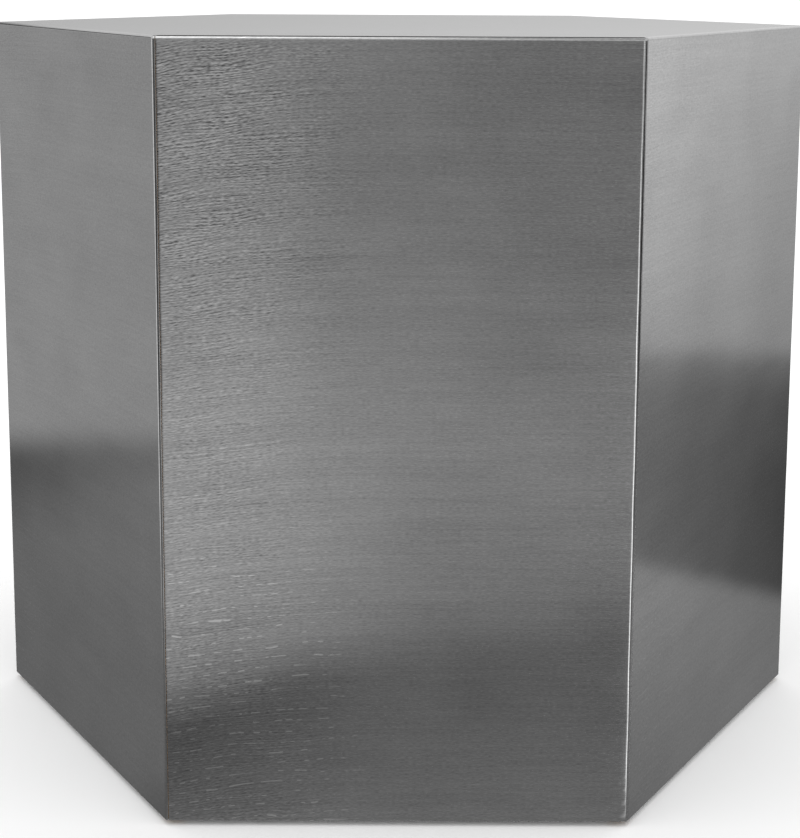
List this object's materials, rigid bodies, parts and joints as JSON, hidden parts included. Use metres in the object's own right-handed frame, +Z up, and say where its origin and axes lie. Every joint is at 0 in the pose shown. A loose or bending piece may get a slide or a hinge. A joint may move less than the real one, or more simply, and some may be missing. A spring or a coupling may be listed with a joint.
{
  "type": "hexagonal side table",
  "caption": "Hexagonal pedestal side table: closed six-sided drum with a flat top, clad in brushed stainless steel, on screw-adjusted levelling feet under its skirt.",
  "frame": {"origin": "on the floor, under the middle of the top", "axes": "+Z up out of the top, +X across two opposite upright corners, -Y out of the flat side that faces the front"},
  "size_m": [0.5076, 0.44, 0.432],
  "materials": {
    "brushed_stainless": "horizontal hairline brushed stainless sheet",
    "mdf": "raw medium density fibreboard",
    "pine": "sawn softwood",
    "beech": "turned beech",
    "black_paint": "fibreboard painted matt black",
    "zinc": "zinc plated steel",
    "nylon": "moulded black nylon",
    "felt": "pressed wool felt"
  },
  "bodies": {
    "table": {"top_skin": "brushed_stainless", "side_skin_1": "brushed_stainless", "side_skin_2": "brushed_stainless", "side_skin_3": "brushed_stainless", "side_skin_4": "brushed_stainless", "side_skin_5": "brushed_stainless", "side_skin_6": "brushed_stainless", "top_board": "mdf", "side_board_1": "mdf", "side_board_2": "mdf", "side_board_3": "mdf", "side_board_4": "mdf", "side_board_5": "mdf", "side_board_6": "mdf", "corner_block_1": "pine", "corner_block_2": "pine", "corner_block_3": "pine", "corner_block_4": "pine", "corner_block_5": "pine", "corner_block_6": "pine", "dowels": "beech", "base_board": "black_paint", "base_screws": "zinc", "threaded_inserts": "zinc"},
    "pad_1": {"leveller_pad_1": "nylon", "glide_1": "felt"},
    "pad_2": {"leveller_pad_2": "nylon", "glide_2": "felt"},
    "pad_3": {"leveller_pad_3": "nylon", "glide_3": "felt"},
    "pad_4": {"leveller_pad_4": "nylon", "glide_4": "felt"},
    "pad_5": {"leveller_pad_5": "nylon", "glide_5": "felt"},
    "pad_6": {"leveller_pad_6": "nylon", "glide_6": "felt"},
    "stem_1": {"leveller_stem_1": "zinc"},
    "stem_2": {"leveller_stem_2": "zinc"},
    "stem_3": {"leveller_stem_3": "zinc"},
    "stem_4": {"leveller_stem_4": "zinc"},
    "stem_5": {"leveller_stem_5": "zinc"},
    "stem_6": {"leveller_stem_6": "zinc"}
  },
  "joints": [
    {"name": "foot_1_slide", "type": "slide", "parent": "table", "child": "pad_1", "axis": [0, 0, -1], "range_m": [0, 0.01]},
    {"name": "foot_1_turn", "type": "hinge", "parent": "pad_1", "child": "stem_1", "pos_m": [0.18279, 0, 0.0125], "axis": [0, 0, -1], "range_deg": [0, 2880]},
    {"name": "foot_2_slide", "type": "slide", "parent": "table", "child": "pad_2", "axis": [0, 0, -1], "range_m": [0, 0.01]},
    {"name": "foot_2_turn", "type": "hinge", "parent": "pad_2", "child": "stem_2", "pos_m": [0.0914, 0.1583, 0.0125], "axis": [0, 0, -1], "range_deg": [0, 2880]},
    {"name": "foot_3_slide", "type": "slide", "parent": "table", "child": "pad_3", "axis": [0, 0, -1], "range_m": [0, 0.01]},
    {"name": "foot_3_turn", "type": "hinge", "parent": "pad_3", "child": "stem_3", "pos_m": [-0.0914, 0.1583, 0.0125], "axis": [0, 0, -1], "range_deg": [0, 2880]},
    {"name": "foot_4_slide", "type": "slide", "parent": "table", "child": "pad_4", "axis": [0, 0, -1], "range_m": [0, 0.01]},
    {"name": "foot_4_turn", "type": "hinge", "parent": "pad_4", "child": "stem_4", "pos_m": [-0.18279, 0, 0.0125], "axis": [0, 0, -1], "range_deg": [0, 2880]},
    {"name": "foot_5_slide", "type": "slide", "parent": "table", "child": "pad_5", "axis": [0, 0, -1], "range_m": [0, 0.01]},
    {"name": "foot_5_turn", "type": "hinge", "parent": "pad_5", "child": "stem_5", "pos_m": [-0.0914, -0.1583, 0.0125], "axis": [0, 0, -1], "range_deg": [0, 2880]},
    {"name": "foot_6_slide", "type": "slide", "parent": "table", "child": "pad_6", "axis": [0, 0, -1], "range_m": [0, 0.01]},
    {"name": "foot_6_turn", "type": "hinge", "parent": "pad_6", "child": "stem_6", "pos_m": [0.0914, -0.1583, 0.0125], "axis": [0, 0, -1], "range_deg": [0, 2880]}
  ],
  "couplings": [
    {"joint": "foot_1_slide", "follows": "foot_1_turn", "m_per_rad": 0.00019894},
    {"joint": "foot_2_slide", "follows": "foot_2_turn", "m_per_rad": 0.00019894},
    {"joint": "foot_3_slide", "follows": "foot_3_turn", "m_per_rad": 0.00019894},
    {"joint": "foot_4_slide", "follows": "foot_4_turn", "m_per_rad": 0.00019894},
    {"joint": "foot_5_slide", "follows": "foot_5_turn", "m_per_rad": 0.00019894},
    {"joint": "foot_6_slide", "follows": "foot_6_turn", "m_per_rad": 0.00019894}
  ]
}
